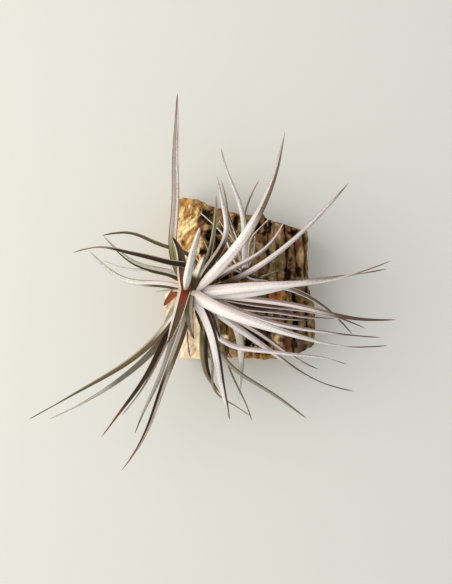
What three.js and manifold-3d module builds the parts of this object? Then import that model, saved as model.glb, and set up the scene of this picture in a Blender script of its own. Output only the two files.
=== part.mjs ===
import * as THREE from 'three';
import { mergeVertices } from 'three/addons/utils/BufferGeometryUtils.js';
import Module from 'manifold-3d';

// An air plant with silvery channelled leaves, growing on a flat chunk of bark.
// Millimetres, +Z up. The origin lies on the flat underside of the bark, below the plant.

// Bark block
const blockHeight = 26;
const frontEdge = [[-28.5, -33.5], [-17.5, -33.5], [-6.5, -33], [12, -33.5], [14, -32], [22.5, -31],
  [29, -27.5]];
const backEdge = [[-29.5, 35.5], [-20, 34], [-13.5, 31], [-1, 28.5], [6.5, 28.5], [9, 26.5], [19, 23],
  [26, 21]];
const leftEdge = [[-28.5, -33.5], [-29, -27.5], [-33, -19.5], [-35.5, -12], [-34.5, -5.5], [-31, 0],
  [-30.5, 15], [-30.5, 27], [-29.5, 35.5]];
const rightEdge = [[29, -27.5], [29, -13], [26.5, -2.5], [26, 6.5], [26, 21]];
const cellsAcross = 30;
const cellsDeep = 20;
const wallLevels = [0, 0.35, 0.7, 1];
// how far the broken side walls swing in and out, as a share of their distance from the middle
const wallSwing = 0.018;
// radians per step along the rim of the swing's slow wave and of its quick, weaker one
const slowWave = 0.9;
const quickWave = 2.3;
const quickShare = 0.7;
const ridgePitch = 6.6;
const ridgeDepth = 2;
const ridgeWander = 0.7;
const ridgeWanderLength = 44;
const lumpHeight = 0.9;
const lumpWidth = 70;
const lumpLength = 56;
const lumpShift = [9, -5.5];

// Stems
const mainStem = { foot: [-13, -6, 19], bend: [-13, -6, 48], top: [-25.7, -4.5, 62], radius: 2.8 };
const upperStem = { foot: [-1, 2, 19], bend: [-1, 2, 34], top: [-1, 5, 43], radius: 1.7 };
const lowerStem = { foot: [-17, -13, 19], bend: [-17, -13, 37], top: [-17.5, -18, 42], radius: 1.8 };
const stemSides = 10;
const stemRings = 9;
// how much of its radius a stem loses towards its top, nearly all of it in the last third
const stemTaper = 0.55;
const stemTaperPower = 6;
const socketGap = 0.7;
const socketFloor = 17;
const socketTop = blockHeight + 8;
const socketSides = 16;

// points closer together than this are one
const weldDistance = 1e-4;

// Leaf blades
const bladeThickness = 0.95;
const rimThickness = 0.62;
const midGrowth = 0.3;
const baseDepth = 0.16;
const tipDepth = 0.36;
const tipWidth = 0.62;
const usualFlare = 0.1;
const flareReach = 0.1;
const hookReach = 0.05;
const bladeSteps = 10;
// how far before and after a ring its direction is measured, as a share of the leaf
const directionReach = 0.01;
// scales along * (1 - along)^2 so that its highest value is 1
const archScale = 6.75;

const leafMaterial = new THREE.MeshStandardMaterial({ color: 0xd6ccc2, roughness: 0.85, metalness: 0 });
const barkMaterial = new THREE.MeshStandardMaterial({ color: 0x86694a, roughness: 0.95, metalness: 0 });

// Each leaf is a line of this list. root is its place on the stem, from the foot (0) to the top (1),
// tip is where it ends and arch is how far it rises above a straight line. bend is how far it
// swings sideways in one, two, three and more half waves, first to its own left, and hook how far
// it swings at once beside the stem. A low taper keeps the blade wide nearly to its tip. turn rolls
// it: its channel faces up at 0 and its back at 180. flare is the extra width of its base, as a
// share, and less than 0 where the base is narrow.
const mainLeaves = [
  // short leaves standing round the heart of the crown
  { root: 0.985, tip: [-18.5, 18, 108], arch: 4, bend: [0.5, 0, 0], wide: 3.25, taper: 0.5, turn: 170,
    flare: -0.55 },
  { root: 0.98, tip: [-30, 16.5, 70], arch: 1, bend: [-1, 0.5, 0], wide: 4.4, taper: 0.62, turn: 10 },
  { root: 0.9, tip: [-33.5, -10.5, 66], arch: 1, bend: [-2.5, -0.5, 0], wide: 3.5, taper: 0.5, turn: 0,
    flare: -0.3 },
  { root: 1, tip: [-31.5, -25, 84], arch: 5, bend: [0.5, 0, 0], wide: 4.5, taper: 0.75, turn: -10 },
  { root: 0.9, tip: [-21.5, -23.5, 70], arch: 3, bend: [-1, 0, 0], wide: 3.9, taper: 0.7, turn: 5 },
  { root: 0.8, tip: [-23.5, -31, 56], arch: 3, bend: [-2, 0, 0], wide: 1.1, taper: 0.8, turn: 0 },
  { root: 0.93, tip: [-33.5, -17.5, 62], arch: 3, bend: [-1, 0, 0], wide: 1.75, taper: 0.7, turn: 0 },
  // leaves reaching back
  { root: 0.88, tip: [-27.5, 70.5, 84], arch: 0.5, bend: [4.5, 2, 1, 0.5], wide: 3.5, taper: 0.66,
    turn: 0, flare: -0.35 },
  { root: 0.86, tip: [13, 55, 90], arch: 12, bend: [-7, 0, 0], wide: 4.25, taper: 0.85, turn: 175,
    flare: -0.3 },
  { root: 0.83, tip: [-12.5, 40, 74], arch: 10, bend: [-7, 0.5, 1], wide: 2.7, taper: 0.7, turn: 190,
    flare: -0.5 },
  { root: 0.78, tip: [-13, 33.5, 62], arch: 8, bend: [-2, 0, 0], wide: 2, taper: 0.45, turn: 160 },
  { root: 0.72, tip: [14.5, 23.5, 56], arch: 10, bend: [-2.5, 1.5, 0], wide: 2.4, taper: 0.65, turn: 190 },
  { root: 0.68, tip: [41, 39.5, 50], arch: 12, bend: [-5.5, -0.5, 0], wide: 2.3, taper: 0.6, turn: 190 },
  // long leaves spreading to the right
  { root: 0.8, tip: [57.5, 7.5, 54], arch: 14, bend: [-3, 1, 0], wide: 4.3, taper: 1.55, turn: 180 },
  { root: 0.72, tip: [57, 4.5, 46], arch: 12, bend: [-2, -1, -0.5], wide: 3.6, taper: 1.3, turn: 190 },
  { root: 0.64, tip: [61.5, -16.5, 42], arch: 12, bend: [-0.5, 1, -0.5], wide: 2.5, taper: 0.6,
    turn: 175 },
  { root: 0.6, tip: [49, -20, 38], arch: 11, bend: [1.5, -1, 0], wide: 2.75, taper: 0.8, turn: 185 },
  { root: 0.55, tip: [37, -16, 36], arch: 9, bend: [-2.5, -0.5, -0.5], wide: 2.25, taper: 0.8, turn: 170 },
  { root: 0.5, tip: [27.5, -17, 35], arch: 7, bend: [-3.5, -0.5, 0], wide: 1.75, taper: 0.8, turn: 180 },
  { root: 0.48, tip: [44.5, -23, 32], arch: 9, bend: [11, 0, 0], wide: 2.25, taper: 0.6, turn: 10 },
  { root: 0.66, tip: [55.5, -24, 38], arch: 12, bend: [-4.5, -0.5, 0], wide: 2.75, taper: 1.3, turn: 180 },
  { root: 0.92, tip: [57.5, -27, 46], arch: 14, bend: [-6, 0.5, -0.5], wide: 4.8, taper: 1.95, turn: 172 },
  { root: 0.84, tip: [46.5, -48, 20], arch: 5, bend: [-4.5, 1, -0.5], wide: 3.2, taper: 1.5, turn: 170 },
  { root: 0.6, tip: [30.5, -38, 27], arch: 6, bend: [-1.5, 0, -0.5], wide: 2.4, taper: 0.8, turn: 160 },
  // leaves reaching forward
  { root: 0.88, tip: [-7.5, -57.5, 46], arch: 10, bend: [2.5, 1, 0], wide: 4.1, taper: 0.62, turn: 182,
    flare: 0.5 },
  { root: 0.7, tip: [-13.5, -23.5, 53], arch: 4, bend: [0, -0.5, 0], wide: 2.75, taper: 0.6, turn: 20 },
  { root: 0.64, tip: [-11.5, -24, 53], arch: 4, bend: [1, 0, 0], wide: 2.5, taper: 0.6, turn: 0 },
  { root: 0.7, tip: [-18, -23, 48], arch: 5, bend: [-1.5, -0.5, 0], wide: 2.5, taper: 0.7, turn: 0 },
  { root: 0.46, tip: [-4, -51, 30], arch: 9, bend: [7, 1, 0], wide: 3.5, taper: 0.62, turn: 180 },
  // long leaves to the front left
  { root: 0.9, tip: [-89.5, -57, 50], arch: 12, bend: [6.5, 1.5, 0], wide: 3.4, taper: 1.4, turn: 30 },
  { root: 0.84, tip: [-82, -57.5, 44], arch: 10, bend: [7.5, 0.5, 0], wide: 3.2, taper: 1.2, turn: 20 },
  { root: 0.88, tip: [-60, -64.5, 48], arch: 10, bend: [2, -0.5, -0.5], wide: 2.6, taper: 0.85, turn: 20 },
  { root: 0.74, tip: [-52.5, -56.5, 40], arch: 8, bend: [0.5, -1, 0], wide: 1.5, taper: 0.8, turn: 0 },
  { root: 0.82, tip: [-47, -64, 40], arch: 9, bend: [0, -0.5, -0.5], wide: 2.75, taper: 0.8, turn: 10 },
  { root: 0.86, tip: [-52, -78.5, 46], arch: 12, bend: [3.5, -0.5, 0.5], wide: 3.6, taper: 0.85,
    turn: -10 },
  // leaves to the left
  { root: 0.62, tip: [-58.5, 17.5, 60], arch: 6, bend: [-10, -1.5, -1.5], wide: 1.9, taper: 0.5,
    turn: 20 },
  { root: 0.8, tip: [-69.5, 10.5, 66], arch: 14, bend: [0, 2.5, 0, 0.5], hook: -14, wide: 2.6,
    taper: 1.15, turn: 20 },
  { root: 0.75, tip: [-58.5, 17.5, 54], arch: 6, bend: [1.5, -2, -0.5], wide: 3.3, taper: 0.9, turn: 160 },
  { root: 0.72, tip: [-45.5, 6.5, 48], arch: 5, bend: [-0.5, -0.5, 0.5], wide: 1.75, taper: 0.8,
    turn: 30 },
  { root: 0.88, tip: [-64, 11.5, 58], arch: 7, bend: [4.5, -1.5, -0.5], wide: 3, taper: 0.7, turn: 160 },
  { root: 0.76, tip: [-60, 8, 44], arch: 6, bend: [-2.5, -2, 0], wide: 1.4, taper: 0.8, turn: 160 },
  { root: 0.94, tip: [-37, -5, 64], arch: 2, bend: [-0.5, 0, 0], wide: 1.2, taper: 0.8, turn: 0 },
  // two short folded bracts beside the heart
  { root: 0.88, tip: [-17.5, 9, 68], arch: 4, bend: [0, 0, 0], wide: 4.2, taper: 0.42, turn: 185,
    flare: -0.2 },
  { root: 0.86, tip: [-21.5, 7.5, 64], arch: 4, bend: [0, 0, 0], wide: 2.4, taper: 0.5, turn: 175 },
];

const upperLeaves = [
  { root: 0.95, tip: [-11, 52.5, 60], arch: 6, bend: [-2.5, -0.5, 0.5], wide: 2.4, taper: 0.8, turn: 185 },
  { root: 0.85, tip: [4.5, 40.5, 50], arch: 4, bend: [4, 0, 0], wide: 1.25, taper: 0.6, turn: 10 },
  { root: 0.75, tip: [-9, 31.5, 44], arch: 3, bend: [-0.5, -0.5, 0], wide: 1.4, taper: 0.7, turn: 170 },
  { root: 0.6, tip: [-13, 29, 38], arch: 3, bend: [-1, -0.5, 0.5], wide: 1.4, taper: 0.7, turn: 0 },
  { root: 0.5, tip: [-10.5, 20, 36], arch: 3, bend: [-1, 0, 0], wide: 1.4, taper: 0.7, turn: 0 },
  { root: 0.7, tip: [-1, 18.5, 47], arch: 2, bend: [0, 0, 0], wide: 1.25, taper: 0.7, turn: 180 },
  { root: 0.6, tip: [-0.5, 20, 43], arch: 2, bend: [-0.5, 0.5, 0], wide: 1.25, taper: 0.7, turn: 0 },
  { root: 0.8, tip: [8.5, 25, 48], arch: 3, bend: [2.5, -0.5, -0.5], wide: 1.25, taper: 0.7, turn: 180 },
  { root: 0.5, tip: [3, 19, 37], arch: 2, bend: [-1.5, 0, 0], wide: 1.2, taper: 0.7, turn: 0 },
  { root: 0.5, tip: [14.5, 4.5, 34], arch: 3, bend: [-2, -0.5, 0], wide: 1.4, taper: 0.7, turn: 0 },
  { root: 0.5, tip: [10.5, -1, 36], arch: 3, bend: [-0.5, -0.5, 0], wide: 1.75, taper: 0.7, turn: 180 },
  { root: 0.6, tip: [-20, 28.5, 35], arch: 3, bend: [-1.5, 1, 0.5], wide: 1.4, taper: 0.7, turn: 180 },
  { root: 0.55, tip: [-20, 20.5, 34], arch: 3, bend: [4, 0, -0.5], wide: 1.4, taper: 0.7, turn: 0 },
  { root: 0.7, tip: [-11, 41, 46], arch: 3, bend: [1, 0, -0.5], wide: 1.3, taper: 0.6, turn: 170 },
];

const lowerLeaves = [
  { root: 0.95, tip: [41, -35, 42], arch: 9, bend: [-4, -2.5, -0.5, -0.5], wide: 2.2, taper: 0.9,
    turn: 180 },
  { root: 0.8, tip: [2, -59.5, 32], arch: 4, bend: [1, 0.5, 0.5], wide: 1, taper: 0.6, turn: 0 },
  { root: 0.7, tip: [25.5, -59, 26], arch: 7, bend: [-5.5, -2, 0], wide: 1.9, taper: 0.5, turn: 20 },
  { root: 0.9, tip: [-11.5, -47.5, 36], arch: 5, bend: [-3.5, 0.5, 0], wide: 4.2, taper: 0.75, turn: 170 },
  { root: 0.75, tip: [1.5, -58, 28], arch: 7, bend: [-7.5, 1.5, 0, -1], wide: 1.3, taper: 0.8, turn: 0 },
  { root: 0.5, tip: [-6.5, -33, 32], arch: 3, bend: [0, 0, 0], wide: 1.2, taper: 0.8, turn: 0 },
];

const wasm = await Module();
wasm.setup();

function vec(values) {
  return new THREE.Vector3(...values);
}

// Turns a closed skin of triangles into a solid for joining and cutting.
function solidOf(geometry) {
  const plain = geometry.clone();
  plain.deleteAttribute('normal');
  plain.deleteAttribute('uv');
  const merged = mergeVertices(plain, weldDistance);
  const mesh = new wasm.Mesh({
    numProp: 3,
    vertProperties: new Float32Array(merged.attributes.position.array),
    triVerts: new Uint32Array(merged.index.array),
  });
  return new wasm.Manifold(mesh);
}

function geometryOf(solid) {
  const mesh = solid.getMesh();
  const geometry = new THREE.BufferGeometry();
  geometry.setAttribute('position', new THREE.BufferAttribute(mesh.vertProperties, 3));
  geometry.setIndex(new THREE.BufferAttribute(mesh.triVerts, 1));
  geometry.computeVertexNormals();
  return geometry;
}

function meshOf(name, solid, material) {
  const mesh = new THREE.Mesh(geometryOf(solid), material);
  mesh.name = name;
  return mesh;
}

// Skins a row of rings, each with the same number of points, into one closed body.
// capFan is the ring point that sees all the others, so that the end caps fan out from it.
function skin(rings, capFan) {
  const sides = rings[0].length;
  const positions = rings.flat().flatMap((point) => point.toArray());
  const index = [];
  for (let ring = 0; ring < rings.length - 1; ring += 1) {
    for (let side = 0; side < sides; side += 1) {
      const here = ring * sides + side;
      const next = ring * sides + (side + 1) % sides;
      index.push(here, next, next + sides);
      index.push(here, next + sides, here + sides);
    }
  }
  const last = (rings.length - 1) * sides;
  for (let step = 1; step < sides - 1; step += 1) {
    const near = (capFan + step) % sides;
    const far = (capFan + step + 1) % sides;
    index.push(capFan, far, near);
    index.push(last + capFan, last + near, last + far);
  }
  const geometry = new THREE.BufferGeometry();
  geometry.setAttribute('position', new THREE.Float32BufferAttribute(positions, 3));
  geometry.setIndex(index);
  return geometry;
}

function stemCurve(stem) {
  return new THREE.QuadraticBezierCurve3(vec(stem.foot), vec(stem.bend), vec(stem.top));
}

// A round stem that narrows to a blunt top.
function stemSolid(stem) {
  const curve = stemCurve(stem);
  const rings = [];
  for (let step = 0; step <= stemRings; step += 1) {
    const along = step / stemRings;
    const centre = curve.getPoint(along);
    const tangent = curve.getTangent(along);
    const across = new THREE.Vector3(0, 1, 0).cross(tangent).normalize();
    const up = tangent.clone().cross(across);
    const radius = stem.radius * (1 - stemTaper * along ** stemTaperPower);
    const ring = [];
    for (let side = 0; side < stemSides; side += 1) {
      const angle = side / stemSides * 2 * Math.PI;
      const point = centre.clone();
      point.addScaledVector(across, Math.cos(angle) * radius);
      point.addScaledVector(up, Math.sin(angle) * radius);
      ring.push(point);
    }
    rings.push(ring);
  }
  return solidOf(skin(rings, 0));
}

// The middle line of a leaf, from the stem's axis to the tip.
function leafPoint(leaf, start, along) {
  const span = vec(leaf.tip).sub(start);
  const leftward = new THREE.Vector3(-span.y, span.x, 0).normalize();
  const point = start.clone().addScaledVector(span, along);
  const [bow, ...waves] = leaf.bend;
  let swing = bow * 4 * along * (1 - along);
  waves.forEach((size, place) => {
    swing += size * Math.sin((place + 2) * Math.PI * along);
  });
  swing += (leaf.hook ?? 0) * (1 - Math.exp(-along / hookReach)) * (1 - along);
  point.addScaledVector(leftward, swing);
  point.z += leaf.arch * archScale * along * (1 - along) ** 2;
  return point;
}

// Widest just above the base, then tapering to a long thin point.
function leafWidth(leaf, along) {
  const narrowing = (1 - along) ** leaf.taper * (1 + leaf.taper * along);
  const flare = (leaf.flare ?? usualFlare) * Math.exp(-((along / flareReach) ** 2));
  return Math.max(tipWidth, leaf.wide * narrowing * (1 + flare));
}

function leafSolid(leaf, curve) {
  const start = curve.getPoint(leaf.root);
  const turn = THREE.MathUtils.degToRad(leaf.turn);
  const rings = [];
  for (let step = 0; step <= bladeSteps; step += 1) {
    const along = step / bladeSteps;
    const centre = leafPoint(leaf, start, along);
    const ahead = leafPoint(leaf, start, along + directionReach);
    const behind = leafPoint(leaf, start, along - directionReach);
    const tangent = ahead.sub(behind).normalize();
    const level = new THREE.Vector3(0, 0, 1).cross(tangent).normalize();
    const upright = tangent.clone().cross(level);
    const side = level.clone().multiplyScalar(Math.cos(turn)).addScaledVector(upright, Math.sin(turn));
    const open = tangent.clone().cross(side);
    const half = leafWidth(leaf, along) / 2;
    const lift = 2 * half * (baseDepth + (tipDepth - baseDepth) * along);
    const mid = Math.min(bladeThickness, rimThickness + half * midGrowth) / 2;
    const section = [
      [-half, lift],
      [-half, lift - rimThickness],
      [0, -mid],
      [half, lift - rimThickness],
      [half, lift],
      [0, mid],
    ];
    const ring = section.map(([sideways, outward]) => {
      const point = centre.clone().addScaledVector(side, sideways);
      return point.addScaledVector(open, outward);
    });
    rings.push(ring);
  }
  return solidOf(skin(rings, 5));
}

// The outer skin of a joined body, so that pockets closed in between the leaf bases are solid.
function filled(solid) {
  const shells = solid.decompose();
  return shells.reduce((best, shell) => (shell.volume() > best.volume() ? shell : best));
}

// One shoot: its stem with every leaf rooted in it, joined into one body.
function shootSolid(stem, leaves) {
  const curve = stemCurve(stem);
  const parts = leaves.map((leaf) => leafSolid(leaf, curve));
  return filled(wasm.Manifold.union([stemSolid(stem), ...parts]));
}

// Height of the bark's upper face: long parallel ridges with broken steps across them.
function barkTop(x, y) {
  const turns = 2 * Math.PI;
  const wander = ridgeWander * Math.sin(y / ridgeWanderLength * turns);
  const ridge = Math.sin((x + wander) / ridgePitch * turns);
  const lumpAcross = Math.sin((x + lumpShift[0]) / lumpWidth * turns);
  const lumpDeep = Math.cos((y + lumpShift[1]) / lumpLength * turns);
  return blockHeight + ridgeDepth / 2 * ridge + lumpHeight * lumpAcross * lumpDeep;
}

function edgeCurve(points) {
  return new THREE.SplineCurve(points.map(([x, y]) => new THREE.Vector2(x, y)));
}

const front = edgeCurve(frontEdge);
const back = edgeCurve(backEdge);
const left = edgeCurve(leftEdge);
const right = edgeCurve(rightEdge);

// A point inside the block's outline, blended from its four edges. across and deep run from 0 to 1.
function blockPlan(across, deep) {
  const point = front.getPointAt(across).multiplyScalar(1 - deep);
  point.addScaledVector(back.getPointAt(across), deep);
  point.addScaledVector(left.getPointAt(deep), 1 - across);
  point.addScaledVector(right.getPointAt(deep), across);
  point.addScaledVector(front.getPoint(0), -(1 - across) * (1 - deep));
  point.addScaledVector(front.getPoint(1), -across * (1 - deep));
  point.addScaledVector(back.getPoint(0), -(1 - across) * deep);
  point.addScaledVector(back.getPoint(1), -across * deep);
  return point;
}

// The scale of a point on the broken side wall. place counts along the rim, level down the wall.
function wallScale(place, level) {
  const slow = Math.sin(place * slowWave + 2 * level);
  const quick = Math.sin(place * quickWave + level);
  return 1 + wallSwing * (slow + quickShare * quick);
}

function blockSolid() {
  const row = cellsAcross + 1;
  const positions = [];
  const index = [];
  for (let deep = 0; deep <= cellsDeep; deep += 1) {
    for (let across = 0; across <= cellsAcross; across += 1) {
      const { x, y } = blockPlan(across / cellsAcross, deep / cellsDeep);
      positions.push(x, y, barkTop(x, y));
    }
  }
  for (let deep = 0; deep < cellsDeep; deep += 1) {
    for (let across = 0; across < cellsAcross; across += 1) {
      const corner = deep * row + across;
      index.push(corner, corner + 1, corner + 1 + row);
      index.push(corner, corner + 1 + row, corner + row);
    }
  }
  // the rim of the upper face, going round from the front left corner
  const rim = [];
  for (let step = 0; step < cellsAcross; step += 1) rim.push(step);
  for (let step = 0; step < cellsDeep; step += 1) rim.push(step * row + cellsAcross);
  for (let step = cellsAcross; step > 0; step -= 1) rim.push(cellsDeep * row + step);
  for (let step = cellsDeep; step > 0; step -= 1) rim.push(step * row);
  let above = rim;
  for (let level = wallLevels.length - 2; level >= 0; level -= 1) {
    const below = rim.map((corner, place) => {
      const [x, y, z] = positions.slice(corner * 3, corner * 3 + 3);
      const scale = wallScale(place, level);
      positions.push(x * scale, y * scale, z * wallLevels[level]);
      return positions.length / 3 - 1;
    });
    for (let place = 0; place < rim.length; place += 1) {
      const next = (place + 1) % rim.length;
      index.push(above[place], below[place], below[next]);
      index.push(above[place], below[next], above[next]);
    }
    above = below;
  }
  const middle = positions.length / 3;
  positions.push(0, 0, 0);
  for (let place = 0; place < rim.length; place += 1) {
    index.push(middle, above[(place + 1) % rim.length], above[place]);
  }
  const geometry = new THREE.BufferGeometry();
  geometry.setAttribute('position', new THREE.Float32BufferAttribute(positions, 3));
  geometry.setIndex(index);
  return solidOf(geometry);
}

// The plain round hole that a stem stands in.
function socketSolid(stem) {
  const depth = socketTop - socketFloor;
  const radius = stem.radius + socketGap;
  const hole = new THREE.CylinderGeometry(radius, radius, depth, socketSides);
  hole.rotateX(Math.PI / 2);
  hole.translate(stem.foot[0], stem.foot[1], socketFloor + depth / 2);
  return solidOf(hole);
}

function drilledBlock() {
  const sockets = [mainStem, upperStem, lowerStem].map((stem) => socketSolid(stem));
  return blockSolid().subtract(wasm.Manifold.union(sockets));
}

const airPlant = new THREE.Group();
airPlant.name = 'air_plant';
airPlant.add(meshOf('bark_block', drilledBlock(), barkMaterial));
airPlant.add(meshOf('main_shoot', shootSolid(mainStem, mainLeaves), leafMaterial));
airPlant.add(meshOf('upper_offset', shootSolid(upperStem, upperLeaves), leafMaterial));
airPlant.add(meshOf('lower_offset', shootSolid(lowerStem, lowerLeaves), leafMaterial));

export default airPlant;
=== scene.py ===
import math
import random
import bpy
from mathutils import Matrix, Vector, noise


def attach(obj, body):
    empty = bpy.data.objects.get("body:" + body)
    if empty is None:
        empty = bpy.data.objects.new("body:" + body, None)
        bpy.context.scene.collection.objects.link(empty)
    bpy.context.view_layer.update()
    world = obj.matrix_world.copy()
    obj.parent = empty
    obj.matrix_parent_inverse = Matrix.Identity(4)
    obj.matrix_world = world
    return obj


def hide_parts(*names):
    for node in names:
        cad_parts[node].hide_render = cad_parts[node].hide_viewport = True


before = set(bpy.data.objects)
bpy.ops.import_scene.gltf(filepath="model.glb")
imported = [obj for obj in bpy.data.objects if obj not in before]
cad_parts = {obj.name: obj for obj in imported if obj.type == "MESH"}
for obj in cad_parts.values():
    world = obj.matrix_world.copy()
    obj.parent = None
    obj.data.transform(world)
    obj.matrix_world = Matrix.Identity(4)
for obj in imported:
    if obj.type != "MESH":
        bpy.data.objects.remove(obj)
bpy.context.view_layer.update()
mm = 0.001  # places and sizes are in millimetres unless a note says metres, Blender works in metres


# Small helpers shared by every piece

def mix(a, b, share):
    return a + (b - a) * share


def smooth(low, high, value):
    share = min(1.0, max(0.0, (value - low) / (high - low)))
    return share * share * (3 - 2 * share)


def paint(red, green, blue):
    # a colour in 0 to 255, as Blender's linear light
    def linear(level):
        level = level / 255
        return level / 12.92 if level <= 0.04045 else ((level + 0.055) / 1.055) ** 2.4
    return (linear(red), linear(green), linear(blue))


def blendColor(a, b, share):
    return tuple(mix(p, q, share) for p, q in zip(a, b))


def addMesh(name, points, faces, material, node=None):
    mesh = bpy.data.meshes.new(name)
    mesh.from_pydata(points, [], faces)
    mesh.update()
    piece = bpy.data.objects.new(name, mesh)
    bpy.context.scene.collection.objects.link(piece)
    mesh.materials.append(material)
    for face in mesh.polygons:
        face.use_smooth = True
    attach(piece, "root")
    if node:
        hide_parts(node)
    return piece


def addColors(piece, name, colors):
    layer = piece.data.color_attributes.new(name, "FLOAT_COLOR", "POINT")
    flat = []
    for color in colors:
        flat.extend((color[0], color[1], color[2], 1.0))
    layer.data.foreach_set("color", flat)


def addValues(piece, name, values):
    layer = piece.data.attributes.new(name, "FLOAT", "POINT")
    layer.data.foreach_set("value", values)


def newMaterial(name):
    material = bpy.data.materials.new(name)
    material.use_nodes = True
    nodes = material.node_tree.nodes
    nodes.clear()
    output = nodes.new("ShaderNodeOutputMaterial")
    shader = nodes.new("ShaderNodeBsdfPrincipled")
    material.node_tree.links.new(shader.outputs["BSDF"], output.inputs["Surface"])
    return material, nodes, material.node_tree.links, shader


def addFeel(nodes, links, shader, height, values):
    # the fine bump and the gloss of a material
    bump = nodes.new("ShaderNodeBump")
    bump.inputs["Strength"].default_value = values["bump"]
    bump.inputs["Distance"].default_value = values["bumpDepth"]
    links.new(height, bump.inputs["Height"])
    links.new(bump.outputs["Normal"], shader.inputs["Normal"])
    shader.inputs["Roughness"].default_value = values["roughness"]
    shader.inputs["Specular IOR Level"].default_value = values["shine"]


# Camera and light

print("camera and window light")

view = dict(
    place=(-9, -5, 540),  # straight above the plant
    lens=73.97,
    sensor=36,
)

cameraData = bpy.data.cameras.new("topCamera")
cameraData.lens = view["lens"]
cameraData.sensor_width = view["sensor"]
cameraData.clip_start = 0.01
camera = bpy.data.objects.new("topCamera", cameraData)
camera.location = Vector(view["place"]) * mm
bpy.context.scene.collection.objects.link(camera)
bpy.context.scene.camera = camera

lighting = dict(
    windowPlace=(-0.38, 0.03, 0.44),  # metres
    windowSize=0.6,                   # metres
    windowPower=2.55,                 # watts
    windowColor=(1.0, 0.97, 0.91),
    skyColor=(0.92, 0.96, 1.0),
    skyStrength=0.83,
)


def addLight():
    lamp = bpy.data.lights.new("windowLight", "AREA")
    lamp.shape = "SQUARE"
    lamp.size = lighting["windowSize"]
    lamp.energy = lighting["windowPower"]
    lamp.color = lighting["windowColor"]
    window = bpy.data.objects.new("windowLight", lamp)
    window.location = lighting["windowPlace"]
    window.rotation_euler = (-window.location).to_track_quat("-Z", "Y").to_euler()
    bpy.context.scene.collection.objects.link(window)
    world = bpy.data.worlds.new("softRoom")
    world.use_nodes = True
    sky = world.node_tree.nodes["Background"]
    sky.inputs["Color"].default_value = (*lighting["skyColor"], 1)
    sky.inputs["Strength"].default_value = lighting["skyStrength"]
    bpy.context.scene.world = world
    bpy.context.scene.view_settings.view_transform = "Standard"


addLight()

tabletop = dict(size=6.0, color=paint(211, 208, 199), roughness=0.7, shine=0.15)  # size in metres


def addTable():
    material, nodes, links, shader = newMaterial("paleTable")
    shader.inputs["Base Color"].default_value = (*tabletop["color"], 1)
    shader.inputs["Roughness"].default_value = tabletop["roughness"]
    shader.inputs["Specular IOR Level"].default_value = tabletop["shine"]
    half = tabletop["size"] / 2
    mesh = bpy.data.meshes.new("table")
    corners = [(-half, -half, 0), (half, -half, 0), (half, half, 0), (-half, half, 0)]
    mesh.from_pydata(corners, [], [(0, 1, 2, 3)])
    mesh.materials.append(material)
    table = bpy.data.objects.new("table", mesh)
    bpy.context.scene.collection.objects.link(table)


addTable()

# The bark chunk

bark = dict(
    height=26,
    frontEdge=[(-28.5, -33.5), (-17.5, -33.5), (-6.5, -33), (12, -33.5), (14, -32), (22.5, -31),
               (29, -27.5)],
    backEdge=[(-29.5, 35.5), (-20, 34), (-13.5, 31), (-1, 28.5), (6.5, 28.5), (9, 26.5), (19, 23),
              (26, 21)],
    leftEdge=[(-28.5, -33.5), (-29, -27.5), (-33, -19.5), (-35.5, -12), (-34.5, -5.5), (-31, 0),
              (-30.5, 15), (-30.5, 27), (-29.5, 35.5)],
    rightEdge=[(29, -27.5), (29, -13), (26.5, -2.5), (26, 6.5), (26, 21)],
    ridgePitch=6.6,            # the long low ridges that the whole block has
    ridgeHeight=0.3,
    ridgeWander=0.7,
    ridgeWanderLength=44,
    swellHeight=0.9,           # broad swells of the upper face
    swellWidth=70,
    swellLength=56,
    swellShift=(9, -5.5),
    bandPitch=4.1,             # from one dark groove to the next in the layered right half
    layersFrom=(1, 9),         # x where the layers begin and where they are complete
    tornFrom=(-18.5, -21),     # the same for the torn left end
    edgeWander=3,              # how far these two borders wander
    crumbledFrom=(-12, 4),     # y where the torn wood begins to crumble, and where it is all chips
    reliefDepth=0.8,           # how strongly layers, lumps and torn fibres stand out
    solidHeights=(-1.8, 0.4),  # groove floors and crests, before reliefDepth
    stainSize=(4.5, 8),        # sizes of the soft spots in its relief and colour
    blotchSize=(2.6, 4.2),
    blotchRise=0.9,
    fleckSize=(0.9, 1.3),
    pitSize=(2.9, 4.6),        # small pits, painted dark as shade
    pitEdge=(0.3, 0.55),
    pitCover=0.85,
    grooveDark=(0.44, 0.02),   # how solid the bark is where black begins, and where it is complete
    grainDepth=0.28,
    spotReach=1.6,             # how far a patch or hollow can reach, in its own half sizes
    patchEdge=(1.25, 0.65),    # where it begins and where it is complete
    patchCover=0.85,
    patchRise=0.3,
    hollowEdge=(1.15, 0.5),
    hollowDepth=2.2,
    darkest=0.92,              # how black the painted shade in grooves and hollows gets
    shades=(0.62, 1.5),        # darkest and lightest mottling
    raggedRim=0.7,             # how far the upper rim is frayed
    rimDrop=0.9,               # how far it is worn down
    cells=240,                 # steps across and along the upper face
    wallSteps=20,              # steps down the side walls
    wallLayer=0.014,           # swings of the side walls, as shares of the distance from the middle
    wallGrain=0.011,
    wallNotch=0.01,
    wallTaper=0.012,           # how much narrower the foot is than the rim
    grainScale=800,            # the finest grain, per metre
    grainStretch=0.35,
    grainDetail=4,
    grainRoughness=0.65,
    grainRange=(0.3, 0.7),     # the span of the grain noise that is used, and the shades it gives
    grainShades=(0.76, 1.2),
    bump=0.35,
    bumpDepth=0.0006,          # metres
    roughness=0.92,
    shine=0.2,
    seed=4,
)

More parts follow.
